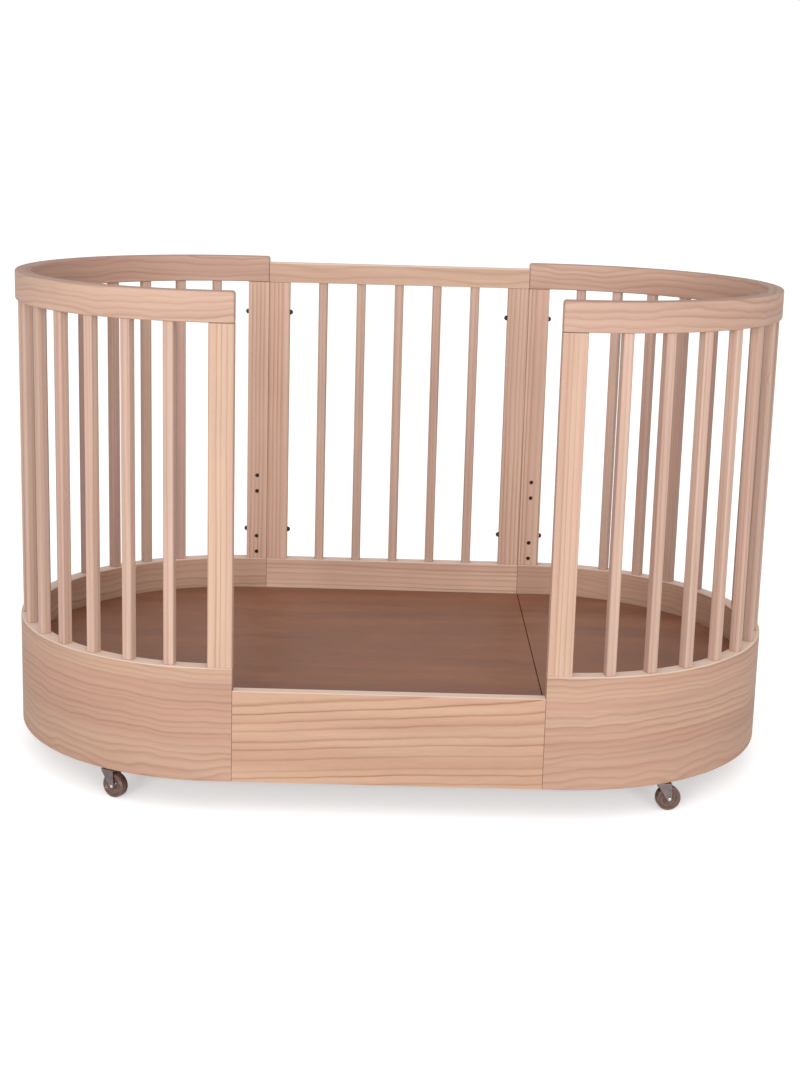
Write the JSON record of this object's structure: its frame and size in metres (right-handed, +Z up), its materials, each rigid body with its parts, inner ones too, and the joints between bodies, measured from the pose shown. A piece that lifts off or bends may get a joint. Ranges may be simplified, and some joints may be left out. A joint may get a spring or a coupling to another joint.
{
  "type": "baby crib",
  "caption": "Oval pine baby crib with slatted half-round ends, a slatted rear panel, one side open over a low board, and swivel casters.",
  "frame": {"origin": "floor level under the middle of the crib", "axes": "+X along the crib to the right seen from the open side, +Y from the open side to the rear panel, +Z up"},
  "size_m": [1.33, 0.757, 0.849],
  "materials": {
    "pine": "smooth untreated pine, open matt grain",
    "pine_board": "smooth untreated pine board, bold grain",
    "hardboard": "brown hardboard, satin face",
    "caster_metal": "dull dark plated steel",
    "caster_wheel": "glossy smoke-black plastic"
  },
  "bodies": {
    "crib_frame": {"front_low_board": "pine_board", "left_end_skirt": "pine_board", "left_end_slat_01": "pine", "left_end_slat_02": "pine", "left_end_slat_03": "pine", "left_end_slat_04": "pine", "left_end_slat_05": "pine", "left_end_slat_06": "pine", "left_end_slat_07": "pine", "left_end_slat_08": "pine", "left_end_slat_09": "pine", "left_end_slat_10": "pine", "left_end_slat_11": "pine", "left_end_slat_12": "pine", "left_end_slat_13": "pine", "left_end_slat_14": "pine", "left_end_slat_15": "pine", "left_end_top_rail": "pine", "left_front_post": "pine", "left_rear_post": "pine", "rear_panel_bottom_rail": "pine_board", "rear_panel_left_stile": "pine", "rear_panel_right_stile": "pine", "rear_panel_slat_1": "pine", "rear_panel_slat_2": "pine", "rear_panel_slat_3": "pine", "rear_panel_slat_4": "pine", "rear_panel_slat_5": "pine", "rear_panel_top_rail": "pine", "right_end_skirt": "pine_board", "right_end_slat_01": "pine", "right_end_slat_02": "pine", "right_end_slat_03": "pine", "right_end_slat_04": "pine", "right_end_slat_05": "pine", "right_end_slat_06": "pine", "right_end_slat_07": "pine", "right_end_slat_08": "pine", "right_end_slat_09": "pine", "right_end_slat_10": "pine", "right_end_slat_11": "pine", "right_end_slat_12": "pine", "right_end_slat_13": "pine", "right_end_slat_14": "pine", "right_end_slat_15": "pine", "right_end_top_rail": "pine", "right_front_post": "pine", "right_rear_post": "pine"},
    "base": {"base_beam_left": "pine", "base_beam_right": "pine", "base_board_main": "hardboard", "base_board_right": "hardboard"},
    "caster_front_left": {"caster_fork_front_left": "caster_metal"},
    "wheel_front_left": {"caster_wheel_front_left": "caster_wheel"},
    "caster_front_right": {"caster_fork_front_right": "caster_metal"},
    "wheel_front_right": {"caster_wheel_front_right": "caster_wheel"},
    "caster_rear_left": {"caster_fork_rear_left": "caster_metal"},
    "wheel_rear_left": {"caster_wheel_rear_left": "caster_wheel"},
    "caster_rear_right": {"caster_fork_rear_right": "caster_metal"},
    "wheel_rear_right": {"caster_wheel_rear_right": "caster_wheel"}
  },
  "joints": [
    {"name": "base_height", "type": "slide", "parent": "crib_frame", "child": "base", "axis": [0, 0, 1], "range_m": [0, 0.2486]},
    {"name": "swivel_front_left", "type": "hinge", "parent": "crib_frame", "child": "caster_front_left", "pos_m": [-0.4601, -0.32107, 0.02082], "axis": [0, 0, 1], "continuous": true},
    {"name": "roll_front_left", "type": "hinge", "parent": "caster_front_left", "child": "wheel_front_left", "pos_m": [-0.45136, -0.32592, 0.02082], "axis": [0.4848, 0.8746, 0], "continuous": true},
    {"name": "swivel_front_right", "type": "hinge", "parent": "crib_frame", "child": "caster_front_right", "pos_m": [0.4601, -0.32107, 0.02082], "axis": [0, 0, 1], "continuous": true},
    {"name": "roll_front_right", "type": "hinge", "parent": "caster_front_right", "child": "wheel_front_right", "pos_m": [0.47001, -0.31968, 0.02082], "axis": [-0.1392, 0.9903, 0], "continuous": true},
    {"name": "swivel_rear_left", "type": "hinge", "parent": "crib_frame", "child": "caster_rear_left", "pos_m": [-0.4601, 0.32107, 0.02082], "axis": [0, 0, 1], "continuous": true},
    {"name": "roll_rear_left", "type": "hinge", "parent": "caster_rear_left", "child": "wheel_rear_left", "pos_m": [-0.45071, 0.32449, 0.02082], "axis": [-0.342, 0.9397, 0], "continuous": true},
    {"name": "swivel_rear_right", "type": "hinge", "parent": "crib_frame", "child": "caster_rear_right", "pos_m": [0.4601, 0.32107, 0.02082], "axis": [0, 0, 1], "continuous": true},
    {"name": "roll_rear_right", "type": "hinge", "parent": "caster_rear_right", "child": "wheel_rear_right", "pos_m": [0.46893, 0.31638, 0.02082], "axis": [0.4695, 0.8829, 0], "continuous": true}
  ]
}
